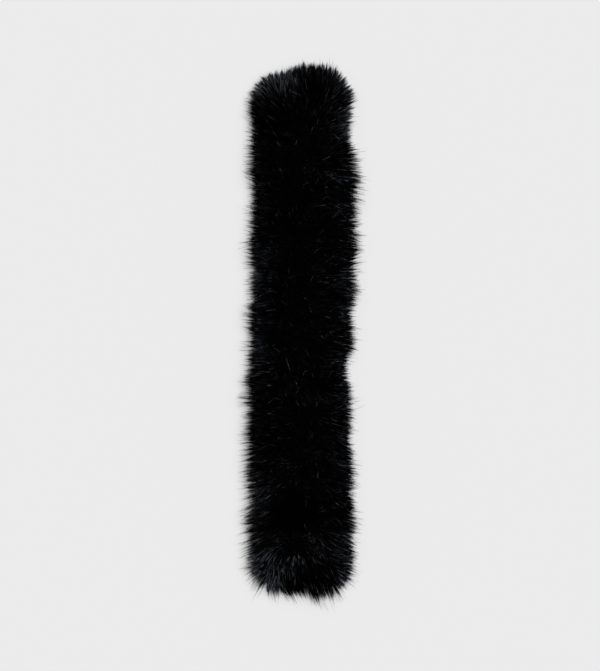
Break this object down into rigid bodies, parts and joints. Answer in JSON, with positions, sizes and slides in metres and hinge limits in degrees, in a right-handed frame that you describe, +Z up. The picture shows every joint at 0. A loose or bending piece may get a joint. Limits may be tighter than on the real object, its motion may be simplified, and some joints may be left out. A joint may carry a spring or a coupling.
{
  "type": "long-pile fur scarf",
  "caption": "Long narrow black fur scarf laid flat: deep soft pile on a knitted ground, sewn all round with the fur outside.",
  "frame": {"origin": "middle of the outline, on the surface that the scarf lies on", "axes": "+Y along the scarf, towards its far end; +X across it; +Z up from the surface it lies on"},
  "size_m": [0.2374, 1.0226, 0.0448],
  "materials": {
    "fur_pile": "satin",
    "knitted_ground": "matte"
  },
  "bodies": {
    "root": {"front_pile": "fur_pile", "back_pile": "fur_pile", "front_ground": "knitted_ground", "back_ground": "knitted_ground"}
  },
  "joints": []
}
